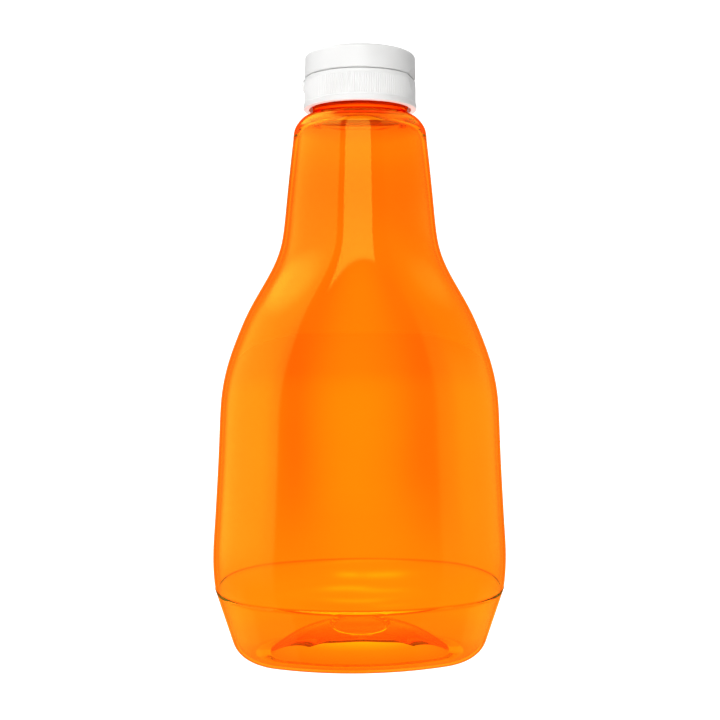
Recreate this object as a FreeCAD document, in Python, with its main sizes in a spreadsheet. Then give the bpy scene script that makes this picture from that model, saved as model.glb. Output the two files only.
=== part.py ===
import FreeCAD, Part
import math
import os
import Sketcher

# ---------------------------------------------------------------------------
# Oval squeeze bottle with a screw-on flip-top cap.
# Millimetres, +Z up, origin in the middle of the base on the surface it
# stands on, width along X, front towards -Y, lid hinge towards -X.
#
#   bottle  one blow-moulded shell: push-up base, bumper heel, oval body,
#           round conical neck, rounded shoulder and threaded finish
#   cap     ribbed closure with a deck and a central spout
#   lid     flip lid with its sealing collar, hinged on the cap at -X
# ---------------------------------------------------------------------------

doc = FreeCAD.newDocument("squeeze_bottle")
sheet = doc.addObject("Spreadsheet::Sheet", "Sizes")
_row = [0]


def cell(alias, value):
    """One named size: the name in column A, the plain number in column B."""
    _row[0] += 1
    sheet.set("A%d" % _row[0], alias)
    sheet.set("B%d" % _row[0], repr(float(value)))
    sheet.setAlias("B%d" % _row[0], alias)


# shape of the oval: end arcs are this share of (half width - half depth)
# tighter than the half depth, and the crown arcs follow from tangency
cell("oval_share", 0.2)
cell("wall_body", 1.1)
cell("wall_neck", 1.6)
cell("wall_floor", 1.2)

# heel: conical bumper below the crease, rounded into the standing ring
cell("heel_round", 9.0)
cell("heel_draft", 0.314)
cell("crease_z", 27.0)
cell("crease_halfwidth", 55.3)
cell("crease_halfdepth", 34.5)
# the wall starts this much inside the top of the bumper
cell("crease_ledge", 0.25)

# stations of the wall above the crease: height, half width, half depth, wall
WALL = [
    (27.0, 55.3, 34.5, 1.1),
    (35.0, 55.87, 34.7, 1.1),
    (43.0, 55.76, 34.7, 1.1),
    (51.0, 55.2, 34.6, 1.1),
    (59.0, 54.66, 34.5, 1.1),
    (67.0, 54.14, 34.4, 1.1),
    (75.0, 53.66, 34.3, 1.1),
    (83.0, 53.25, 34.2, 1.1),
    (91.0, 52.88, 34.1, 1.1),
    (99.0, 52.31, 33.9, 1.1),
    (107.0, 50.97, 33.6, 1.1),
    (115.0, 48.7, 33.2, 1.12),
    (123.0, 45.68, 32.7, 1.15),
    (131.0, 42.15, 32.1, 1.18),
    (139.0, 37.7, 31.4, 1.2),
    (147.0, 33.15, 30.6, 1.25),
    (155.0, 29.9, 29.6, 1.3),
    (163.0, 28.42, 28.42, 1.3),
    (171.0, 27.57, 27.57, 1.35),
    (179.0, 26.74, 26.74, 1.4),
    (187.0, 25.85, 25.85, 1.5),
    (195.0, 24.9, 24.9, 1.6),
]
for i, (z, a, b, t) in enumerate(WALL):
    cell("wall_z_%02d" % i, z)
    cell("wall_halfwidth_%02d" % i, a)
    cell("wall_halfdepth_%02d" % i, b)
    cell("wall_skin_%02d" % i, t)

# shoulder over the top of the neck cone, and the finish inside the cap
cell("shoulder_side_r", 24.9)
cell("shoulder_z", 195.0)
cell("shoulder_mid_r", 24.05)
cell("shoulder_mid_z", 199.7)
cell("shoulder_in_r", 20.9)
cell("shoulder_in_z", 203.3)
cell("shoulder_top_r", 18.6)
cell("shoulder_top_z", 204.3)
cell("finish_r", 17.6)
cell("finish_z", 205.2)
cell("finish_top", 216.0)
cell("bore_r", 15.4)
cell("bore_z", 203.6)
cell("thread_r", 18.6)
cell("thread_width", 1.6)
cell("thread_low_z", 208.6)
cell("thread_high_z", 212.4)

# push-up in the base
cell("pushup_halfwidth", 34.0)
cell("pushup_halfdepth", 14.6)
cell("pushup_disc_r", 10.7)
cell("pushup_height", 10.3)

# cap
cell("cap_low_z", 206.3)
cell("cap_flange_z", 208.3)
cell("cap_flange_r", 21.05)
cell("cap_skirt_r", 20.7)
cell("cap_bore_r", 19.0)
cell("cap_deck_under", 216.0)
cell("cap_seam_z", 217.3)
cell("cap_deck_z", 217.0)
cell("cap_land_r", 19.0)
cell("spout_base_r", 6.4)
cell("spout_tip_r", 5.2)
cell("spout_z", 220.4)
cell("spout_bore_r", 3.6)
cell("rib_low_z", 208.7)
cell("rib_high_z", 215.9)
cell("rib_count", 150)
cell("rib_depth", 0.2)
cell("rib_groove_width", 0.42)

# lid
cell("seam_gap", 0.3)
cell("lid_r", 20.6)
cell("lid_top_z", 226.0)
cell("lid_skin", 1.4)
cell("lid_round", 1.3)
cell("seal_out_r", 7.0)
cell("seal_in_r", 6.0)
cell("seal_low_z", 219.1)

# thumb recess across the seam, opposite the hinge: two leaning flats that
# meet at the seam, where they are deepest
cell("thumb_low_z", 209.3)
cell("thumb_top_z", 220.9)
cell("thumb_cap_depth", 1.2)
cell("thumb_lid_depth", 0.95)

# hinge: a low rounded boss across the seam, mostly below it
cell("hinge_centre_r", 20.2)
cell("hinge_proud", 1.3)
cell("hinge_halfwidth", 6.5)
cell("hinge_halfheight", 3.5)
cell("hinge_z", 215.7)

# how far the tightened cap has turned past square with the body, clockwise
# seen from above
cell("cap_turn", 18.0)

doc.recompute()


def size(alias):
    return float(sheet.get(alias))


def plane(body, role):
    for feature in body.Origin.OriginFeatures:
        if feature.Role == role:
            return feature
    raise RuntimeError(role)


def new_body(name):
    body = doc.addObject("PartDesign::Body", name)
    body.Label = name
    return body


def sketch_on(body, name, role, lift=None):
    sk = body.newObject("Sketcher::SketchObject", name)
    sk.AttachmentSupport = [(plane(body, role), "")]
    sk.MapMode = "FlatFace"
    if lift is not None:
        sk.setExpression(".AttachmentOffset.Base.z", dim(lift).text)
    return sk


class Dim:
    """A size that keeps its value and its expression over the sheet."""

    def __init__(self, value, text):
        self.value = float(value)
        self.text = text

    def __add__(self, other):
        o = dim(other)
        return Dim(self.value + o.value, "(%s + %s)" % (self.text, o.text))

    def __radd__(self, other):
        return dim(other) + self

    def __sub__(self, other):
        o = dim(other)
        return Dim(self.value - o.value, "(%s - %s)" % (self.text, o.text))

    def __rsub__(self, other):
        return dim(other) - self

    def __mul__(self, other):
        o = dim(other)
        return Dim(self.value * o.value, "(%s * %s)" % (self.text, o.text))

    def __rmul__(self, other):
        return dim(other) * self

    def __truediv__(self, other):
        o = dim(other)
        return Dim(self.value / o.value, "(%s / %s)" % (self.text, o.text))

    def __rtruediv__(self, other):
        return dim(other) / self

    def __neg__(self):
        return Dim(-self.value, "(0 - %s)" % self.text)


def dim(x):
    return x if isinstance(x, Dim) else Dim(x, repr(float(x)))


def S(alias):
    return Dim(size(alias), "Sizes." + alias)


def sine(degrees):
    return Dim(math.sin(math.radians(degrees.value)), "sin(%s * 1 deg)" % degrees.text)


def cosine(degrees):
    return Dim(math.cos(math.radians(degrees.value)), "cos(%s * 1 deg)" % degrees.text)


def arctan(ratio):
    """Angle in plain degrees."""
    return Dim(math.degrees(math.atan(ratio.value)), "(atan(%s) / 1 deg)" % ratio.text)


def bind(sk, index, size_of):
    sk.setExpression("Constraints[%d]" % index, size_of.text)


V = FreeCAD.Vector


def oval_sketch(body, name, half_w, half_d, lift):
    """Four tangent arcs through (w, 0) and (0, d).

    end arc radius   r1 = d - k (w - d)
    crown radius     r2 = d + (1 + 2k)/(2k) (w - d)
    The arcs meet at the same slope at every size, so a loft through several
    such ovals never twists; a round section is the case w = d.
    """
    sk = sketch_on(body, name, "XY_Plane", lift)
    w, d, k = dim(half_w), dim(half_d), S("oval_share")
    e = w - d
    r1 = d - k * e
    r2 = d + (1 + 2 * k) / (2 * k) * e
    c1 = (1 + k) * e
    phi = arctan((1 + k) * 2 * k / (1 + 2 * k))
    x1 = c1 + r1 * sine(phi)
    y1 = r1 * cosine(phi)
    up, lean = math.pi / 2, math.radians(phi.value)

    def arc(cx, cy, r, t0, t1):
        circle = Part.Circle(V(cx, cy, 0), V(0, 0, 1), r.value)
        return sk.addGeometry(Part.ArcOfCircle(circle, t0, t1), False)

    east = arc(c1.value, 0, r1, lean - up, up - lean)
    north = arc(0, d.value - r2.value, r2, up - lean, up + lean)
    west = arc(-c1.value, 0, r1, up + lean, 3 * up - lean)
    south = arc(0, r2.value - d.value, r2, 3 * up - lean, 3 * up + lean)
    C = Sketcher.Constraint
    sk.addConstraint([
        C("Coincident", east, 2, north, 1),
        C("Coincident", north, 2, west, 1),
        C("Coincident", west, 2, south, 1),
        C("Coincident", south, 2, east, 1),
        C("Symmetric", east, 2, north, 2, -2),
        C("Symmetric", east, 2, east, 1, -1),
        C("Symmetric", east, 2, west, 2, -1, 1),
    ])
    bind(sk, sk.addConstraint(C("DistanceX", -1, 1, east, 2, x1.value)), x1)
    bind(sk, sk.addConstraint(C("DistanceY", -1, 1, east, 2, y1.value)), y1)
    bind(sk, sk.addConstraint(C("Radius", east, r1.value)), r1)
    bind(sk, sk.addConstraint(C("Radius", west, r1.value)), r1)
    bind(sk, sk.addConstraint(C("Radius", north, r2.value)), r2)
    bind(sk, sk.addConstraint(C("Radius", south, r2.value)), r2)
    return sk


def loft(body, kind, name, sections):
    feature = body.newObject("PartDesign::" + kind, name)
    feature.Profile = sections[0]
    feature.Sections = sections[1:]
    feature.Ruled = False
    feature.Closed = False
    for s in sections:
        s.Visibility = False
    return feature


def profile_sketch(body, name, points, role="XZ_Plane"):
    """Closed polyline in a plane through the axis; each point is its distance
    from the axis and its height."""
    sk = sketch_on(body, name, role)
    C = Sketcher.Constraint
    points = [(dim(x), dim(z)) for x, z in points]
    count = len(points)
    lines = []
    for i in range(count):
        p, q = points[i], points[(i + 1) % count]
        lines.append(sk.addGeometry(Part.LineSegment(
            V(p[0].value, p[1].value, 0), V(q[0].value, q[1].value, 0)), False))
    for i in range(count):
        sk.addConstraint(C("Coincident", lines[i], 2, lines[(i + 1) % count], 1))
    for i, (x, z) in enumerate(points):
        if abs(x.value) < 1e-9:
            sk.addConstraint(C("PointOnObject", lines[i], 1, -2))
        else:
            bind(sk, sk.addConstraint(C("DistanceX", -1, 1, lines[i], 1, x.value)), x)
        bind(sk, sk.addConstraint(C("DistanceY", -1, 1, lines[i], 1, z.value)), z)
    return sk


def revolve(body, kind, name, sk, angle=360.0, middle=False):
    feature = body.newObject("PartDesign::" + kind, name)
    feature.Profile = sk
    feature.ReferenceAxis = (sk, ["V_Axis"])
    feature.Angle = angle
    feature.Midplane = middle
    sk.Visibility = False
    return feature


# --- bottle ------------------------------------------------------------------
bottle = new_body("bottle")

# heel: stations round the arc, then up the drafted bumper to the crease
HEEL_TURNS = [0.0, 0.25, 0.5, 0.75, 1.0]


def heel_stations(tag, skin):
    """Sections of the heel, skin inside the outer face."""
    draft, turn_r = S("heel_draft"), S("heel_round")
    lean = arctan(draft)
    rise = S("crease_z") - turn_r
    inset = draft * rise + turn_r / cosine(lean)
    radius = turn_r - skin
    out = []
    for j, share in enumerate(HEEL_TURNS):
        turn = (90 - lean) * share
        out.append(oval_sketch(bottle, "%s_heel_%d" % (tag, j),
                               S("crease_halfwidth") - inset + radius * sine(turn),
                               S("crease_halfdepth") - inset + radius * sine(turn),
                               turn_r - radius * cosine(turn)))
    for j, share in enumerate((0.15, 0.43, 0.71, 1.0)):
        drop = draft * (rise + turn_r * sine(lean)) * (1 - share) + skin
        out.append(oval_sketch(bottle, "%s_bumper_%d" % (tag, j),
                               S("crease_halfwidth") - drop,
                               S("crease_halfdepth") - drop,
                               S("crease_z") - (rise + turn_r * sine(lean)) * (1 - share)))
    return out


loft(bottle, "AdditiveLoft", "heel", heel_stations("outer", dim(0)))

loft(bottle, "AdditiveLoft", "wall", [
    oval_sketch(bottle, "outer_wall_%02d" % i,
                S("wall_halfwidth_%02d" % i) - (0 if i else S("crease_ledge")),
                S("wall_halfdepth_%02d" % i) - (0 if i else S("crease_ledge")),
                S("wall_z_%02d" % i))
    for i in range(len(WALL))])

low, high, rim = S("thread_low_z"), S("thread_high_z"), S("thread_width")
revolve(bottle, "Revolution", "shoulder_and_finish", profile_sketch(bottle, "shoulder_profile", [
    (0, S("shoulder_z")),
    (S("shoulder_side_r"), S("shoulder_z")),
    (S("shoulder_side_r") - 0.12, S("shoulder_z") + 1.9),
    (S("shoulder_mid_r") + 0.45, S("shoulder_mid_z") - 1.2),
    (S("shoulder_mid_r"), S("shoulder_mid_z")),
    (S("shoulder_mid_r") - 1.05, S("shoulder_mid_z") + 1.6),
    (S("shoulder_in_r") + 0.9, S("shoulder_in_z") - 0.7),
    (S("shoulder_in_r"), S("shoulder_in_z")),
    (S("shoulder_top_r"), S("shoulder_top_z")),
    (S("finish_r"), S("finish_z")),
    (S("finish_r"), low - rim / 2),
    (S("thread_r"), low - rim / 5),
    (S("thread_r"), low + rim / 5),
    (S("finish_r"), low + rim / 2),
    (S("finish_r"), high - rim / 2),
    (S("thread_r"), high - rim / 5),
    (S("thread_r"), high + rim / 5),
    (S("finish_r"), high + rim / 2),
    (S("finish_r"), S("finish_top")),
    (0, S("finish_top")),
]))

# cavity: the same stations, one wall thickness in
loft(bottle, "SubtractiveLoft", "cavity", [
    oval_sketch(bottle, "inner_wall_%02d" % i,
                S("wall_halfwidth_%02d" % i) - S("wall_skin_%02d" % i),
                S("wall_halfdepth_%02d" % i) - S("wall_skin_%02d" % i),
                S("wall_z_%02d" % i))
    for i in range(len(WALL))])
loft(bottle, "SubtractiveLoft", "heel_cavity", heel_stations("inner", S("wall_body")))

skin = S("wall_neck")
revolve(bottle, "Groove", "neck_bore", profile_sketch(bottle, "bore_profile", [
    (0, S("shoulder_z") - 0.5),
    (S("shoulder_side_r") - skin, S("shoulder_z") - 0.5),
    (S("shoulder_side_r") - skin, S("shoulder_z")),
    (S("shoulder_mid_r") - skin - 0.4, S("shoulder_mid_z") - 0.6),
    (S("shoulder_in_r") - skin, S("shoulder_in_z") - 1.7),
    (S("bore_r") + 0.5, S("bore_z") - 0.7),
    (S("bore_r"), S("bore_z") + 0.6),
    (S("bore_r"), S("finish_top") + 1),
    (0, S("finish_top") + 1),
]))

# push-up: a dome added on the floor, then hollowed from below
DOME = [(0.0, 0.0), (0.35, 0.55), (0.75, 0.9), (1.0, 1.0)]


def dome_stations(tag, skin, foot):
    """Sections of the dome, skin above its underside; foot: its lowest one."""
    out = []
    for j, (share, rise) in enumerate(DOME):
        out.append(oval_sketch(bottle, "%s_dome_%d" % (tag, j),
                               S("pushup_halfwidth") * (1 - share) + S("pushup_disc_r") * share + skin,
                               S("pushup_halfdepth") * (1 - share) + S("pushup_disc_r") * share + skin,
                               S("pushup_height") * rise + skin if j else dim(foot)))
    return out


loft(bottle, "AdditiveLoft", "floor_dome", dome_stations("over", S("wall_floor") * 0.9, S("wall_floor") * 0.3))
loft(bottle, "SubtractiveLoft", "floor_pushup", dome_stations("under", dim(0), 0))

# --- cap ---------------------------------------------------------------------
def part(kind, name, **sizes):
    """A Part primitive or boolean with its sizes bound to the sheet."""
    o = doc.addObject("Part::" + kind, name)
    for prop, value in sizes.items():
        if isinstance(value, Dim):
            o.setExpression(prop, value.text)
        else:
            setattr(o, prop, value)
    return o


def place(o, x=None, y=None, z=None):
    for axis, value in (("x", x), ("y", y), ("z", z)):
        if value is not None:
            o.setExpression(".Placement.Base." + axis, dim(value).text)
    return o


def thumb_cutter(tag, low_x, low_z, high_x, high_z):
    """What the thumb recess takes away: all that lies beyond a leaning flat
    which looks towards +X, at low_x at its foot and high_x at its top."""
    wedge = part("Wedge", tag + "_bite", Xmin=low_x, X2min=high_x, Xmax=24.0, X2max=24.0,
                 Ymin=low_z, Ymax=high_z, Zmin=-15.0, Z2min=-15.0, Zmax=15.0, Z2max=15.0)
    wedge.Placement = FreeCAD.Placement(V(0, 0, 0), FreeCAD.Rotation(V(1, 0, 0), 90))
    return wedge


cap_turned = new_body("cap_turned")
revolve(cap_turned, "Revolution", "cap_shape", profile_sketch(cap_turned, "cap_profile", [
    (S("cap_bore_r"), S("cap_low_z")),
    (S("cap_flange_r") - 0.2, S("cap_low_z")),
    (S("cap_flange_r"), S("cap_low_z") + 0.2),
    (S("cap_flange_r"), S("cap_flange_z") - 0.3),
    (S("cap_skirt_r") + 0.05, S("cap_flange_z")),
    (S("cap_skirt_r"), S("cap_flange_z") + 0.3),
    (S("cap_skirt_r"), S("cap_seam_z") - 0.3),
    (S("cap_skirt_r") - 0.3, S("cap_seam_z")),
    (S("cap_land_r"), S("cap_seam_z")),
    (S("cap_land_r") - 0.3, S("cap_deck_z")),
    (S("spout_base_r"), S("cap_deck_z")),
    (S("spout_tip_r"), S("spout_z") - 0.3),
    (S("spout_tip_r") - 0.3, S("spout_z")),
    (S("spout_bore_r"), S("spout_z")),
    (S("spout_bore_r"), S("cap_deck_under")),
    (S("cap_bore_r"), S("cap_deck_under")),
]))

# fine upright grip ribs: one groove, repeated round the skirt
rib = sketch_on(cap_turned, "rib_section", "XY_Plane", S("rib_high_z"))
C = Sketcher.Constraint
root, mouth, half = S("cap_skirt_r") - S("rib_depth"), S("cap_skirt_r") + S("rib_depth"), S("rib_groove_width")
corners = [(root, dim(0)), (mouth, half), (mouth, -half)]
sides = []
for i in range(3):
    p, q = corners[i], corners[(i + 1) % 3]
    sides.append(rib.addGeometry(Part.LineSegment(
        V(p[0].value, p[1].value, 0), V(q[0].value, q[1].value, 0)), False))
for i in range(3):
    rib.addConstraint(C("Coincident", sides[i], 2, sides[(i + 1) % 3], 1))
rib.addConstraint(C("PointOnObject", sides[0], 1, -1))
rib.addConstraint(C("Symmetric", sides[1], 1, sides[1], 2, -1))
bind(rib, rib.addConstraint(C("DistanceX", -1, 1, sides[0], 1, root.value)), root)
bind(rib, rib.addConstraint(C("DistanceX", -1, 1, sides[1], 1, mouth.value)), mouth)
bind(rib, rib.addConstraint(C("DistanceY", sides[1], 2, sides[1], 1, 2 * half.value)), 2 * half)
groove = cap_turned.newObject("PartDesign::Pocket", "rib_groove")
groove.Profile = rib
groove.setExpression("Length", (S("rib_high_z") - S("rib_low_z")).text)
rib.Visibility = False
doc.recompute()
before = cap_turned.Shape.Volume
pattern = cap_turned.newObject("PartDesign::PolarPattern", "ribs")
pattern.Originals = [groove]
pattern.Axis = (plane(cap_turned, "Z_Axis"), [""])
pattern.Angle = 360.0
pattern.setExpression("Occurrences", "Sizes.rib_count")
cap_turned.Tip = pattern


def hinge_boss(tag, low_z, high_z):
    """The share of the hinge boss between two heights."""
    egg = place(part("Ellipsoid", tag + "_egg", Radius1=S("hinge_halfheight"),
                     Radius2=S("hinge_proud"), Radius3=S("hinge_halfwidth"),
                     Angle1=-90.0, Angle2=90.0, Angle3=360.0),
                x=-S("hinge_centre_r"), z=S("hinge_z"))
    slab = place(part("Box", tag + "_slab", Length=6.0, Width=18.0, Height=high_z - low_z),
                 x=-S("hinge_centre_r") - 3, y=-9, z=low_z)
    return part("Common", tag + "_boss", Base=egg, Tool=slab)


cap_hinged = part("Fuse", "cap_hinged", Base=cap_turned,
                  Tool=hinge_boss("hinge_low", S("cap_seam_z") - 6, S("cap_seam_z")))
cap = part("Cut", "cap", Base=cap_hinged,
           Tool=thumb_cutter("cap_thumb", S("cap_skirt_r") + 0.1, S("thumb_low_z"),
                             S("cap_skirt_r") - S("thumb_cap_depth"), S("cap_seam_z") + 0.1))

# --- lid ---------------------------------------------------------------------
lid_turned = new_body("lid_turned")
sill = S("cap_seam_z") + S("seam_gap")
wall_in = S("lid_r") - S("lid_skin")
ceiling = S("lid_top_z") - S("lid_skin")
shape = revolve(lid_turned, "Revolution", "lid_shape", profile_sketch(lid_turned, "lid_profile", [
    (wall_in, sill),
    (S("lid_r") - 0.3, sill),
    (S("lid_r"), sill + 0.3),
    (S("lid_r") - 0.15, S("lid_top_z")),
    (0, S("lid_top_z")),
    (0, ceiling),
    (S("seal_in_r"), ceiling),
    (S("seal_in_r"), S("seal_low_z")),
    (S("seal_out_r") - 0.3, S("seal_low_z")),
    (S("seal_out_r"), S("seal_low_z") + 0.3),
    (S("seal_out_r"), ceiling),
    (wall_in, ceiling),
]))
doc.recompute()
rim_edge = None
for i, edge in enumerate(shape.Shape.Edges):
    curve = edge.Curve
    if isinstance(curve, Part.Circle) and abs(curve.Center.z - size("lid_top_z")) < 1e-6:
        if abs(curve.Radius - size("lid_r") + 0.15) < 1e-6:
            rim_edge = "Edge%d" % (i + 1)
fillet = lid_turned.newObject("PartDesign::Fillet", "lid_edge")
fillet.Base = (shape, [rim_edge])
fillet.setExpression("Radius", "Sizes.lid_round")
lid_turned.Tip = fillet

lid_hinged = part("Fuse", "lid_hinged", Base=lid_turned,
                  Tool=hinge_boss("hinge_high", sill, sill + 4))
lid = part("Cut", "lid", Base=lid_hinged,
           Tool=thumb_cutter("lid_thumb", S("lid_r") - S("thumb_lid_depth"), sill - 0.1,
                             S("lid_r") + 0.1, S("thumb_top_z")))
for o in (cap, lid):
    o.Placement = FreeCAD.Placement(V(0, 0, 0), FreeCAD.Rotation(V(0, 0, 1), -size("cap_turn")))

# --- check and write -----------------------------------------------------------
doc.recompute()
bottle.Label = "bottle"
cap.Label = "cap"
lid.Label = "lid"
for o in doc.Objects:
    if "Invalid" in o.State or "Error" in o.State:
        raise RuntimeError("%s failed: %s" % (o.Name, o.State))
if not before > cap_turned.Shape.Volume:
    raise RuntimeError("the ribs cut nothing")

os.makedirs("parts", exist_ok=True)
for o in (bottle, cap, lid):
    solid = o.Shape
    if solid.isNull() or not solid.isValid() or len(solid.Solids) != 1 or solid.Volume <= 0:
        raise RuntimeError("%s is not one valid solid" % o.Label)
    box = solid.optimalBoundingBox(False)
    print("%-7s volume %9.1f mm3  x %.2f..%.2f  y %.2f..%.2f  z %.2f..%.2f  faces %d" % (
        o.Label, solid.Volume, box.XMin, box.XMax, box.YMin, box.YMax, box.ZMin, box.ZMax, len(solid.Faces)))
    solid.exportStep("parts/%s.step" % o.Label)
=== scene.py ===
import bpy
import math
import numpy as np
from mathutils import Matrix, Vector


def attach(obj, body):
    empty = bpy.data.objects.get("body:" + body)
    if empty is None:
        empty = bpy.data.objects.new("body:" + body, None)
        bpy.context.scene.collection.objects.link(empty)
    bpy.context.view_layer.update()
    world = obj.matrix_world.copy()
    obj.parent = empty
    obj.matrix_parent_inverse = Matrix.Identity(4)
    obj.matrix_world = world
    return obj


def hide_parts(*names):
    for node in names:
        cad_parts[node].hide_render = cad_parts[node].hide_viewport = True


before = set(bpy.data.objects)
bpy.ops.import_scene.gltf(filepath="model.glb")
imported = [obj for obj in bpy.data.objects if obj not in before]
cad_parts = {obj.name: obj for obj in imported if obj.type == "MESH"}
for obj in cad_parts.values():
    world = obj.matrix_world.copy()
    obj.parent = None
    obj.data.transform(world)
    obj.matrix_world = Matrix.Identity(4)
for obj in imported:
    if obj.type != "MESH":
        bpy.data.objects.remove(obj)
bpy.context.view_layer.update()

MM = 0.001


# ---------------------------------------------------------------------------
# helpers
# ---------------------------------------------------------------------------
def spline(xs, ys):
    """Natural cubic through (xs, ys); returns a function."""
    xs, ys = np.asarray(xs, float), np.asarray(ys, float)
    n = len(xs)
    h = np.diff(xs)
    a = np.zeros((n, n))
    r = np.zeros(n)
    a[0, 0] = a[-1, -1] = 1
    for i in range(1, n - 1):
        a[i, i - 1], a[i, i], a[i, i + 1] = h[i - 1], 2 * (h[i - 1] + h[i]), h[i]
        r[i] = 6 * ((ys[i + 1] - ys[i]) / h[i] - (ys[i] - ys[i - 1]) / h[i - 1])
    m = np.linalg.solve(a, r)

    def f(x):
        x = np.asarray(x, float)
        i = np.clip(np.searchsorted(xs, x) - 1, 0, n - 2)
        t0, t1 = xs[i + 1] - x, x - xs[i]
        return (m[i] * t0 ** 3 + m[i + 1] * t1 ** 3) / (6 * h[i]) + \
            (ys[i] / h[i] - m[i] * h[i] / 6) * t0 + (ys[i + 1] / h[i] - m[i + 1] * h[i] / 6) * t1
    return f


def chaikin(points, times=3):
    """Rounds an open polyline and keeps its two ends."""
    p = np.asarray(points, float)
    for _ in range(times):
        q = 0.75 * p[:-1] + 0.25 * p[1:]
        r = 0.25 * p[:-1] + 0.75 * p[1:]
        mid = np.empty((2 * len(q), p.shape[1]))
        mid[0::2], mid[1::2] = q, r
        p = np.vstack([p[:1], mid, p[-1:]])
    return p


def mesh_object(name, verts, faces, material, smooth=True, crease_deg=None):
    me = bpy.data.meshes.new(name)
    me.from_pydata([tuple(v) for v in verts], [], [tuple(f) for f in faces])
    me.validate()
    me.update()
    ob = bpy.data.objects.new(name, me)
    bpy.context.scene.collection.objects.link(ob)
    me.materials.append(material)
    if smooth:
        me.polygons.foreach_set("use_smooth", [True] * len(me.polygons))
    if crease_deg:
        me.set_sharp_from_angle(angle=math.radians(crease_deg))
    return ob


def skin_rings(rings, close_loop=False):
    """Quads between consecutive rings of equal count; rings in order."""
    n = len(rings[0])
    faces = []
    for i in range(len(rings) - 1 + (1 if close_loop else 0)):
        a, b = i * n, ((i + 1) % len(rings)) * n
        for j in range(n):
            k = (j + 1) % n
            faces.append((a + j, a + k, b + k, b + j))
    return np.vstack(rings), faces


# ---------------------------------------------------------------------------
# bottle: the same oval and the same named sizes as the CAD part, in mm
# ---------------------------------------------------------------------------
SHARE = 0.2
HEEL_R, DRAFT, CREASE_Z, CREASE_W, CREASE_D = 9.0, 0.314, 27.0, 55.3, 34.5
LEDGE = 0.25
WALL_SKIN, FLOOR_SKIN = 1.1, 1.2
WALL = [
    (27.0, 55.3, 34.5, 1.1), (35.0, 55.87, 34.7, 1.1), (43.0, 55.76, 34.7, 1.1),
    (51.0, 55.2, 34.6, 1.1), (59.0, 54.66, 34.5, 1.1), (67.0, 54.14, 34.4, 1.1),
    (75.0, 53.66, 34.3, 1.1), (83.0, 53.25, 34.2, 1.1), (91.0, 52.88, 34.1, 1.1),
    (99.0, 52.31, 33.9, 1.1), (107.0, 50.97, 33.6, 1.1), (115.0, 48.7, 33.2, 1.12),
    (123.0, 45.68, 32.7, 1.15), (131.0, 42.15, 32.1, 1.18), (139.0, 37.7, 31.4, 1.2),
    (147.0, 33.15, 30.6, 1.25), (155.0, 29.9, 29.6, 1.3), (163.0, 28.42, 28.42, 1.3),
    (171.0, 27.57, 27.57, 1.35), (179.0, 26.74, 26.74, 1.4), (187.0, 25.85, 25.85, 1.5),
    (195.0, 24.9, 24.9, 1.6),
]
PUSH_W, PUSH_D, PUSH_DISC, PUSH_RISE = 34.0, 14.6, 10.7, 10.3

PHI = math.atan2(1 + SHARE, (1 + 2 * SHARE) / (2 * SHARE))
CROWN, END = 42, 54


def _normal_angles():
    """Angles of the outward normal round the oval, finer where it matters."""
    east = np.linspace(-(math.pi / 2 - PHI), math.pi / 2 - PHI, END, endpoint=False)
    north = np.linspace(math.pi / 2 - PHI, math.pi / 2 + PHI, CROWN, endpoint=False)
    west = east + math.pi
    south = north + math.pi
    return np.concatenate([east, north, west, south])


ANGLES = _normal_angles()
KIND = np.concatenate([np.full(END, 0), np.full(CROWN, 1), np.full(END, 2), np.full(CROWN, 3)])


def oval(w, d, z):
    """Ring of points of the four-centre oval with half width w and half depth d."""
    d = min(w, d)
    e = w - d
    r1 = d - SHARE * e
    r2 = d + (1 + 2 * SHARE) / (2 * SHARE) * e
    cx = np.choose(KIND, [(1 + SHARE) * e, 0.0, -(1 + SHARE) * e, 0.0])
    cy = np.choose(KIND, [0.0, d - r2, 0.0, r2 - d])
    rr = np.choose(KIND, [r1, r2, r1, r2])
    return np.stack([cx + rr * np.cos(ANGLES), cy + rr * np.sin(ANGLES),
                     np.full(len(ANGLES), float(z))], 1)


def heel(skin):
    """(w, d, z) from the standing ring up to the crease, skin inside the face."""
    lean = math.atan(DRAFT)
    rise = CREASE_Z - HEEL_R
    inset = DRAFT * rise + HEEL_R / math.cos(lean)
    radius = HEEL_R - skin
    rows = []
    for t in np.linspace(0, math.pi / 2 - lean, 15):
        o = -inset + radius * math.sin(t)
        rows.append((CREASE_W + o, CREASE_D + o, HEEL_R - radius * math.cos(t)))
    full = rise + HEEL_R * math.sin(lean)
    for s in np.linspace(0, 1, 15)[1:]:
        drop = DRAFT * full * (1 - s) + skin
        rows.append((CREASE_W - drop, CREASE_D - drop, CREASE_Z - full * (1 - s)))
    return rows


WZ, WW, WD, WT = [np.array(c) for c in zip(*WALL)]
half_width, half_depth, wall_skin = spline(WZ, WW), spline(WZ, WD), spline(WZ, WT)


def wall(skinned):
    rows = []
    heights = [27.0, 27.12, 27.35, 27.65, 28.0, 28.25] + list(np.linspace(28.5, 48.0, 40)[:-1]) + \
        list(np.linspace(48.0, 195.0, 99))
    for z in heights:
        w, d = float(half_width(z)), float(half_depth(z))
        if z > 159:
            d = w
        t = float(wall_skin(z)) if skinned else 0.0
        ledge = 0.0 if skinned else 0.6 * LEDGE * float(np.interp(z, [27, 27.12, 27.35, 27.65, 28.0, 28.6, 30], [0, 0.8, 1, 0.85, 0.55, 0.2, 0]))
        rows.append((w - t - ledge, min(w, d) - t - ledge, z))
    return rows


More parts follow.
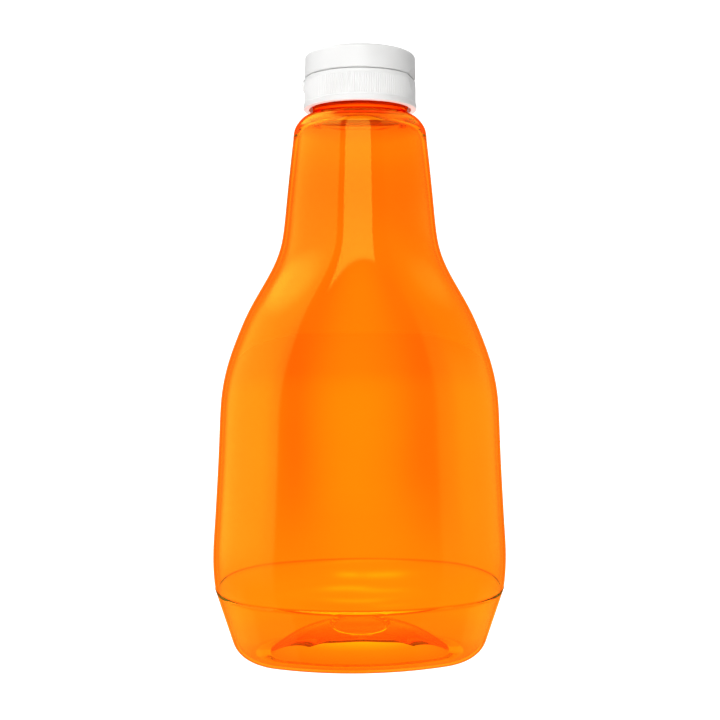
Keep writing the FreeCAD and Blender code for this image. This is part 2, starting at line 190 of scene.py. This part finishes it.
def shoulder_outer():
    p = [(24.9, 195.0), (24.78, 196.9), (24.5, 198.5), (24.05, 199.7), (23.0, 201.3),
         (21.8, 202.6), (20.9, 203.3), (18.6, 204.3), (17.6, 205.2), (17.6, 207.0)]
    p = chaikin(p, 2)
    rest = [(17.6, 207.8), (18.6, 208.28), (18.6, 208.92), (17.6, 209.4), (17.6, 211.6),
            (18.6, 212.08), (18.6, 212.72), (17.6, 213.2), (17.6, 215.7), (17.3, 216.0)]
    return [(r, r, z) for r, z in np.vstack([p, rest])][1:]


def bore_inner():
    """From the lip down to the top of the wall."""
    p = [(15.4, 207.0), (15.4, 204.2), (15.9, 202.9), (19.3, 201.6), (22.05, 199.1),
         (22.95, 197.2), (23.3, 195.0)]
    p = chaikin(p, 3)
    return [(15.7, 15.7, 216.0), (15.4, 15.4, 215.7)] + [(r, r, z) for r, z in p][:-1]


def push_up(skin, lift):
    rows = []
    s = np.array([0.0, 0.35, 0.75, 1.0])
    r = spline(s, [0.0, 0.55, 0.9, 1.0])
    for q in np.linspace(0, 1, 18):
        w = PUSH_W * (1 - q) + PUSH_DISC * q + skin
        d = PUSH_D * (1 - q) + PUSH_DISC * q + skin
        z = PUSH_RISE * float(r(q)) + lift
        rows.append((w, d, z))
    return rows


def disc(w, z, skin, lift):
    """The gate disc in the middle of the push-up, with its small step."""
    rows = []
    for q in (0.985, 0.94, 0.9, 0.86, 0.7, 0.5, 0.3, 0.12):
        step = 0.35 if q < 0.93 else 0.0
        rows.append((w * q, w * q, z - step))
    return rows


def bottle_mesh():
    outer = []
    under = push_up(0.0, 0.0)
    centre_under = disc(PUSH_DISC, PUSH_RISE, 0, 0)
    # from the middle of the underside out to the standing ring
    for row in reversed(centre_under):
        outer.append(row)
    for row in reversed(under):
        outer.append(row)
    outer.append((PUSH_W + 0.5, PUSH_D + 0.35, 0.0))
    outer += heel(0.0)
    outer += wall(False)[1:]
    outer += shoulder_outer()
    # over the lip and down inside
    inner = bore_inner()
    inner += list(reversed(wall(True)))
    inner += list(reversed(heel(WALL_SKIN)))[1:]
    over = push_up(FLOOR_SKIN * 0.9, FLOOR_SKIN * 0.9)
    over = [row for row in over if row[2] > 1.9]
    inner.append((over[0][0] + 1.3, over[0][1] + 1.1, 1.15))
    inner += over
    top = disc(PUSH_DISC + FLOOR_SKIN * 0.9, PUSH_RISE + FLOOR_SKIN * 0.9, 0, 0)
    inner += [(w, d, z) for w, d, z in top]
    rows = outer + inner
    rings = [oval(w, d, z) for w, d, z in rows]
    verts, faces = skin_rings(rings)
    n = len(ANGLES)
    last = (len(rings) - 1) * n
    verts = np.vstack([verts, [[0, 0, rows[0][2]]], [[0, 0, rows[-1][2]]]])
    normal = np.concatenate([np.tile(ANGLES, len(rings)), [0.0, 0.0]])
    c0, c1 = len(verts) - 2, len(verts) - 1
    for j in range(n):
        k = (j + 1) % n
        faces.append((c0, k, j))
        faces.append((c1, last + j, last + k))
    return verts, faces, normal


def bump_at(x, centre, width):
    return np.exp(-((x - centre) / width) ** 2)


def step_at(x, a, b):
    t = np.clip((x - a) / (b - a), 0, 1)
    return t * t * (3 - 2 * t)


def tint_and_painted_light_of(verts, normal):
    """Green let through at each face crossing, with painted light and shade in it.
    It is deeper up the neck, where the wall is thicker, and in the finish, where
    it is partly a painted shadow under the cap. Painted shade darkens it along
    the four upright turns where the flat face meets the round ends, and painted
    light makes it pale in the heel and the push-up and adds streaks on the front foot."""
    x, y, z = verts.T
    # colour up the height: the deeper neck follows its thicker wall; paler from z 9 to 20 is painted light, the
    # lighter step near z 194 is a painted highlight at the top of the shoulder, and the deepest finish values are
    # partly a painted shadow under the cap
    t = np.interp(z, [0, 5, 9, 13, 20, 27, 60, 100, 140, 160, 175, 187, 194, 198, 201, 204, 207],
                  [0.57, 0.58, 0.625, 0.66, 0.655, 0.633, 0.632, 0.625, 0.605, 0.585, 0.572, 0.585, 0.615, 0.60, 0.54, 0.50, 0.47])
    # painted light and shade standing in for reflections in the faces: a darker band just inside the four upright
    # turns, the round ends a touch paler, the middle of the faces paler and a darker band at either side near |x| 26
    # mm
    off = np.degrees(np.arccos(np.clip(np.abs(np.sin(normal)), 0, 1)))
    turn_painted_shade = bump_at(off, 14.0, 6.5) * step_at(z, 20, 75) * (1 - step_at(z, 140, 160))
    ends_painted_light = step_at(off, 17.5, 20.5) * step_at(z, 26, 40) * (1 - step_at(z, 145, 165))
    middle = bump_at(x, -1.0, 15.0) * step_at(z, 20, 60) * (1 - step_at(z, 150, 190))
    side_painted_shade = bump_at(np.abs(x), 26.0, 7.0) * step_at(z, 45, 75) * (1 - step_at(z, 118, 140))
    t = t * (1 - 0.06 * turn_painted_shade) * (1 + 0.012 * ends_painted_light) * (1 + 0.026 * middle) * (1 - 0.055 * side_painted_shade)
    # painted light on the push-up and the floor round it: much paler from z 8 up the dome, and kept low below z 8 as
    # painted shade over a glint there
    reach = np.sqrt((x / 36.5) ** 2 + (y / 17.5) ** 2)
    floor = (1 - step_at(reach, 0.98, 1.06)) * (1 - step_at(z, 12.5, 14.5))
    t = t + (np.interp(z, [0, 3, 6, 8, 10.5], [0.54, 0.57, 0.60, 0.76, 0.98]) - t) * floor
    # painted highlights: soft streaks of reflected light across the foot of the front wall: height, middle, half
    #     # length, half thickness, arch and how much paler each one is
    for height, centre, reach_x, thick, arch, amount in (
            (45.6, 2.0, 13.0, 0.55, 0.0040, 0.13), (40.6, -5.8, 3.6, 1.1, 0.0, 0.17), (40.4, 6.5, 7.5, 1.2, 0.0, 0.20),
            (35.8, -5.5, 8.5, 1.0, 0.0060, 0.19), (34.8, 8.0, 7.0, 0.7, 0.0030, 0.08), (31.2, -2.5, 9.5, 0.75, -0.0030, 0.16),
            (29.3, 9.0, 6.0, 0.6, -0.0030, 0.08), (24.4, -4.0, 11.0, 0.9, -0.0030, 0.10), (20.6, 3.0, 12.0, 1.0, -0.0030, 0.10)):
        along = 1 / (1 + ((x - centre) / reach_x) ** 4)
        t = t * (1 + amount * (y < 0) * along * bump_at(z + arch * (x - centre) ** 2, height, thick))
    # painted shade along the line of the crease, deeper on the back wall than on the front
    t = t * (1 - np.where(y > 0, 0.34, 0.22) * bump_at(z, 27.35, 0.3) * (reach > 1.1))
    return t


def edge_painted_shade_of(verts):
    """How much painted edge shade the glass takes toward its outline, where its
    colour deepens into a dark line: all of it on the upright wall, none in the floor."""
    x, y, z = verts.T
    reach = np.sqrt((x / 36.5) ** 2 + (y / 17.5) ** 2)
    return step_at(reach, 0.98, 1.10) + (1 - step_at(reach, 0.98, 1.10)) * step_at(z, 13.0, 15.0)


# ---------------------------------------------------------------------------
# materials
# ---------------------------------------------------------------------------
def new_material(name):
    m = bpy.data.materials.new(name)
    m.use_nodes = True
    nt = m.node_tree
    nt.nodes.clear()
    out = nt.nodes.new("ShaderNodeOutputMaterial")
    return m, nt, out


def tinted_plastic():
    """Clear plastic tinted right through, with painted light and shade in its
    colour. The colour deepens a little up the neck, where the wall is thicker, and
    most in the finish under the cap, partly as a painted shadow there; it is
    palest in the heel and the push-up, as painted light, and deepens into a
    painted dark line toward the outline."""
    m, nt, out = new_material("tinted_orange_plastic")
    g = nt.nodes.new("ShaderNodeBsdfGlass")
    g.inputs["Roughness"].default_value = 0.015
    g.inputs["IOR"].default_value = 1.5
    coord = nt.nodes.new("ShaderNodeTexCoord")
    depth = nt.nodes.new("ShaderNodeAttribute")
    depth.attribute_name = "tint_and_painted_light"
    wander = nt.nodes.new("ShaderNodeTexNoise")
    wander.inputs["Scale"].default_value = 24.0
    wander.inputs["Detail"].default_value = 2.0
    uneven = nt.nodes.new("ShaderNodeMapRange")
    uneven.inputs["From Min"].default_value = 0.3
    uneven.inputs["From Max"].default_value = 0.7
    uneven.inputs["To Min"].default_value = 0.985
    uneven.inputs["To Max"].default_value = 1.015
    green = nt.nodes.new("ShaderNodeMath")
    green.operation = "MULTIPLY"
    blue = nt.nodes.new("ShaderNodeMapRange")
    blue.inputs["From Min"].default_value = 0.5
    blue.inputs["From Max"].default_value = 0.9
    blue.inputs["To Min"].default_value = 0.03
    blue.inputs["To Max"].default_value = 0.12
    mixed = nt.nodes.new("ShaderNodeCombineColor")
    # painted shade at the outline: by facing, the colour deepens toward the edge, with a narrow dark line near facing
    # 0.78 to 0.80, scaled by the per-point edge attribute
    slant = nt.nodes.new("ShaderNodeLayerWeight")
    slant.inputs["Blend"].default_value = 0.5
    edge_painted_shade = nt.nodes.new("ShaderNodeValToRGB")
    el = edge_painted_shade.color_ramp.elements
    el[0].position, el[0].color = 0.50, (1, 1, 1, 1)
    el[1].position, el[1].color = 1.0, (0.99, 0.45, 0.3, 1)
    for pos, c in ((0.70, (1.0, 0.86, 0.7, 1)), (0.775, (0.97, 0.40, 0.25, 1)), (0.80, (0.96, 0.38, 0.25, 1)),
                   (0.85, (0.99, 0.60, 0.4, 1))):
        el.new(pos).color = c
    edge_shaded_colour = nt.nodes.new("ShaderNodeMix")
    edge_shaded_colour.data_type = "RGBA"
    edge_shaded_colour.blend_type = "MULTIPLY"
    strength = nt.nodes.new("ShaderNodeAttribute")
    strength.attribute_name = "edge_painted_shade"
    nt.links.new(strength.outputs["Fac"], edge_shaded_colour.inputs["Factor"])
    nt.links.new(slant.outputs["Facing"], edge_painted_shade.inputs["Fac"])
    mixed.inputs["Red"].default_value = 1.0
    nt.links.new(coord.outputs["Object"], wander.inputs["Vector"])
    nt.links.new(wander.outputs["Fac"], uneven.inputs["Value"])
    nt.links.new(depth.outputs["Fac"], green.inputs[0])
    nt.links.new(uneven.outputs["Result"], green.inputs[1])
    nt.links.new(green.outputs["Value"], blue.inputs["Value"])
    nt.links.new(green.outputs["Value"], mixed.inputs["Green"])
    nt.links.new(blue.outputs["Result"], mixed.inputs["Blue"])
    nt.links.new(mixed.outputs["Color"], edge_shaded_colour.inputs[6])
    nt.links.new(edge_painted_shade.outputs["Color"], edge_shaded_colour.inputs[7])
    nt.links.new(edge_shaded_colour.outputs[2], g.inputs["Color"])
    wave = nt.nodes.new("ShaderNodeTexNoise")
    wave.inputs["Scale"].default_value = 34.0
    wave.inputs["Detail"].default_value = 1.0
    bump = nt.nodes.new("ShaderNodeBump")
    bump.inputs["Strength"].default_value = 0.1
    bump.inputs["Distance"].default_value = 0.0006
    nt.links.new(coord.outputs["Object"], wave.inputs["Vector"])
    nt.links.new(wave.outputs["Fac"], bump.inputs["Height"])
    nt.links.new(bump.outputs["Normal"], g.inputs["Normal"])
    nt.links.new(g.outputs["BSDF"], out.inputs["Surface"])
    return m


def cap_plastic():
    m, nt, out = new_material("satin_white_plastic")
    p = nt.nodes.new("ShaderNodeBsdfPrincipled")
    coord = nt.nodes.new("ShaderNodeTexCoord")
    fine = nt.nodes.new("ShaderNodeTexNoise")
    fine.inputs["Scale"].default_value = 900.0
    fine.inputs["Detail"].default_value = 3.0
    broad = nt.nodes.new("ShaderNodeTexNoise")
    broad.inputs["Scale"].default_value = 60.0
    ramp = nt.nodes.new("ShaderNodeValToRGB")
    ramp.color_ramp.elements[0].position = 0.3
    ramp.color_ramp.elements[0].color = (0.80, 0.80, 0.79, 1)
    ramp.color_ramp.elements[1].position = 0.75
    ramp.color_ramp.elements[1].color = (0.86, 0.86, 0.855, 1)
    rough = nt.nodes.new("ShaderNodeMapRange")
    rough.inputs["To Min"].default_value = 0.3
    rough.inputs["To Max"].default_value = 0.42
    bump = nt.nodes.new("ShaderNodeBump")
    bump.inputs["Strength"].default_value = 0.25
    bump.inputs["Distance"].default_value = 0.00004
    p.inputs["IOR"].default_value = 1.49
    p.inputs["Specular IOR Level"].default_value = 0.2
    nt.links.new(coord.outputs["Object"], fine.inputs["Vector"])
    nt.links.new(coord.outputs["Object"], broad.inputs["Vector"])
    nt.links.new(broad.outputs["Fac"], ramp.inputs["Fac"])
    nt.links.new(ramp.outputs["Color"], p.inputs["Base Color"])
    nt.links.new(broad.outputs["Fac"], rough.inputs["Value"])
    nt.links.new(rough.outputs["Result"], p.inputs["Roughness"])
    nt.links.new(fine.outputs["Fac"], bump.inputs["Height"])
    nt.links.new(bump.outputs["Normal"], p.inputs["Normal"])
    nt.links.new(p.outputs["BSDF"], out.inputs["Surface"])
    return m


ORANGE = tinted_plastic()
WHITE = cap_plastic()

# ---------------------------------------------------------------------------
# pieces
# ---------------------------------------------------------------------------
verts, faces, normal = bottle_mesh()
bottle = mesh_object("bottle_shell", verts * MM, faces, ORANGE)
# per-point tint, with its painted light and shade
tint_and_painted_light = bottle.data.attributes.new("tint_and_painted_light", "FLOAT", "POINT")
tint_and_painted_light.data.foreach_set("value", tint_and_painted_light_of(verts, normal).astype(np.float32))
# per-point strength of the painted dark edge line
edge_painted_shade = bottle.data.attributes.new("edge_painted_shade", "FLOAT", "POINT")
edge_painted_shade.data.foreach_set("value", edge_painted_shade_of(verts).astype(np.float32))
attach(bottle, "container")
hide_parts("bottle")
bottle.visible_shadow = False

for node in ("cap", "lid"):
    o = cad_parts[node]
    o.data.materials.clear()
    o.data.materials.append(WHITE)

# ---------------------------------------------------------------------------
# stage, light, camera
# ---------------------------------------------------------------------------
TABLE_GLOW, TABLE_FILL = 1.24, 0.16


def lit_table():
    """Pale translucent table top, lit from below, as far as the eye sees."""
    m, nt, out = new_material("pale_table")
    p = nt.nodes.new("ShaderNodeBsdfPrincipled")
    p.inputs["Base Color"].default_value = (0.3, 0.3, 0.3, 1)
    p.inputs["Roughness"].default_value = 0.9
    p.inputs["Specular IOR Level"].default_value = 0.0
    p.inputs["Emission Color"].default_value = (1, 1, 1, 1)
    path = nt.nodes.new("ShaderNodeLightPath")
    glow = nt.nodes.new("ShaderNodeMapRange")
    glow.inputs["To Min"].default_value = TABLE_GLOW
    glow.inputs["To Max"].default_value = TABLE_FILL
    nt.links.new(path.outputs["Is Diffuse Ray"], glow.inputs["Value"])
    nt.links.new(glow.outputs["Result"], p.inputs["Emission Strength"])
    nt.links.new(p.outputs["BSDF"], out.inputs["Surface"])
    ring = [(4.0 * math.cos(t), max(4.0 * math.sin(t), -0.58), 0.0)
            for t in np.linspace(0, 2 * math.pi, 128, endpoint=False)]
    return mesh_object("studio_floor", ring, [list(range(128))], m, smooth=False)


table = lit_table()
table.visible_glossy = False


def card(name, az, el, across, tall, dist, power, height=0.2):
    """Soft light for the white cap only: it leaves no mark in the bottle."""
    a, e = math.radians(az), math.radians(el)
    d = bpy.data.lights.new(name, "AREA")
    d.shape = "RECTANGLE"
    d.size, d.size_y = across, tall
    d.energy = power
    o = bpy.data.objects.new(name, d)
    bpy.context.scene.collection.objects.link(o)
    o.location = (dist * math.sin(a) * math.cos(e), -dist * math.cos(a) * math.cos(e),
                  height + dist * math.sin(e))
    o.rotation_euler = (Vector((0, 0, height)) - Vector(o.location)).to_track_quat("-Z", "Y").to_euler()
    o.visible_camera = False
    o.visible_glossy = False
    o.visible_transmission = False
    return o


card("key", -17, 9, 0.8, 0.8, 1.2, 12.9)
card("below", 0, -89.9, 0.08, 0.05, 0.198, 0.26)
card("back", 183, 30, 0.9, 0.9, 1.2, 8.5)

world = bpy.data.worlds.new("studio")
bpy.context.scene.world = world
world.use_nodes = True
wt = world.node_tree
wt.nodes.clear()
w_out = wt.nodes.new("ShaderNodeOutputWorld")


def sky(strength):
    n = wt.nodes.new("ShaderNodeBackground")
    n.inputs["Color"].default_value = (1, 1, 1, 1)
    n.inputs["Strength"].default_value = strength
    return n


def w_math(op, a, b=None):
    n = wt.nodes.new("ShaderNodeMath")
    n.operation = op
    for i, v in enumerate((a, b)):
        if v is None:
            continue
        if isinstance(v, (int, float)):
            n.inputs[i].default_value = v
        else:
            wt.links.new(v, n.inputs[i])
    return n.outputs["Value"]


def w_rise(v, lo, hi):
    """0 below lo and 1 above hi, smooth between."""
    n = wt.nodes.new("ShaderNodeMapRange")
    n.interpolation_type = "SMOOTHSTEP"
    n.inputs["From Min"].default_value = lo
    n.inputs["From Max"].default_value = hi
    wt.links.new(v, n.inputs["Value"])
    return n.outputs["Result"]


def w_window(v, lo, hi, soft_lo, soft_hi):
    return w_math("SUBTRACT", w_rise(v, lo - soft_lo, lo + soft_lo), w_rise(v, hi - soft_hi, hi + soft_hi))


# what the bottle mirrors: a room that is dim in front, with a big box from
# the left, a weak one from the right and a short strip above the camera
direction = wt.nodes.new("ShaderNodeTexCoord")
axes = wt.nodes.new("ShaderNodeSeparateXYZ")
wt.links.new(direction.outputs["Generated"], axes.inputs["Vector"])
azim = w_math("MULTIPLY", w_math("ARCTAN2", axes.outputs["X"], w_math("MULTIPLY", axes.outputs["Y"], -1.0)), 57.29578)
elev = w_math("MULTIPLY", w_math("ARCSINE", axes.outputs["Z"]), 57.29578)
BOXES = [
    # azimuth from, to, softness of each edge; elevation from, to, softness; radiance
    ((-150, -37, 8, 1.2), (26, 64, 4, 6), 5.8),
    ((-126, -37, 10, 1.2), (12, 26, 5, 4), 2.2),
    ((-126, -37, 10, 1.2), (-15, 12, 6, 5), 2.2),
    ((-126, -37, 10, 1.2), (-60, -16, 5, 3), 0.3),
    ((-170, -75, 5, 8), (-75, -20, 5, 4), 0.6),
    ((75, 170, 8, 5), (-75, -20, 5, 4), 0.6),
    ((37, 150, 1.2, 8), (26, 64, 4, 6), 1.6),
    ((37, 126, 1.2, 10), (-15, 12, 6, 5), 0.8),
    ((-27, 16, 1.2, 1.2), (16.4, 46, 0.8, 3), 5.5),
]
total = w_math("ADD", 0.75, w_math("MULTIPLY", w_rise(w_math("ABSOLUTE", azim), 34.0, 40.0), 0.2))
for (a0, a1, sa0, sa1), (e0, e1, se0, se1), radiance in BOXES:
    box = w_math("MULTIPLY", w_window(azim, a0, a1, sa0, sa1), w_window(elev, e0, e1, se0, se1))
    total = w_math("ADD", total, w_math("MULTIPLY", box, radiance))
seen, soft, mirrored = sky(1.45), sky(0.2), sky(1.0)
wt.links.new(total, mirrored.inputs["Strength"])
path = wt.nodes.new("ShaderNodeLightPath")
mix_a = wt.nodes.new("ShaderNodeMixShader")
mix_b = wt.nodes.new("ShaderNodeMixShader")
passed = w_math("SUBTRACT", 1.0, path.outputs["Is Transmission Ray"])
wt.links.new(w_math("MULTIPLY", path.outputs["Is Glossy Ray"], passed), mix_a.inputs["Fac"])
wt.links.new(seen.outputs["Background"], mix_a.inputs[1])
wt.links.new(mirrored.outputs["Background"], mix_a.inputs[2])
wt.links.new(path.outputs["Is Diffuse Ray"], mix_b.inputs["Fac"])
wt.links.new(mix_a.outputs["Shader"], mix_b.inputs[1])
wt.links.new(soft.outputs["Background"], mix_b.inputs[2])
wt.links.new(mix_b.outputs["Shader"], w_out.inputs["Surface"])

cam_data = bpy.data.cameras.new("camera")
cam = bpy.data.objects.new("camera", cam_data)
bpy.context.scene.collection.objects.link(cam)
cam_data.sensor_width = 36.0
cam_data.lens = 47.25
yaw, pitch = math.radians(2.3), math.radians(3.65)
cam.location = (-0.3576 * math.sin(yaw), -0.3576 * math.cos(yaw), 0.136)
cam.rotation_euler = (math.pi / 2 - pitch, 0.0, -yaw)
cam_data.shift_x = 0.0
cam_data.clip_start = 0.01
bpy.context.scene.camera = cam

scene = bpy.context.scene
scene.view_settings.view_transform = "Standard"
scene.view_settings.look = "None"
scene.view_settings.exposure = 0.0
scene.view_settings.gamma = 1.0
scene.cycles.max_bounces = 32
scene.cycles.transmission_bounces = 24
scene.cycles.glossy_bounces = 32
scene.cycles.transparent_max_bounces = 12
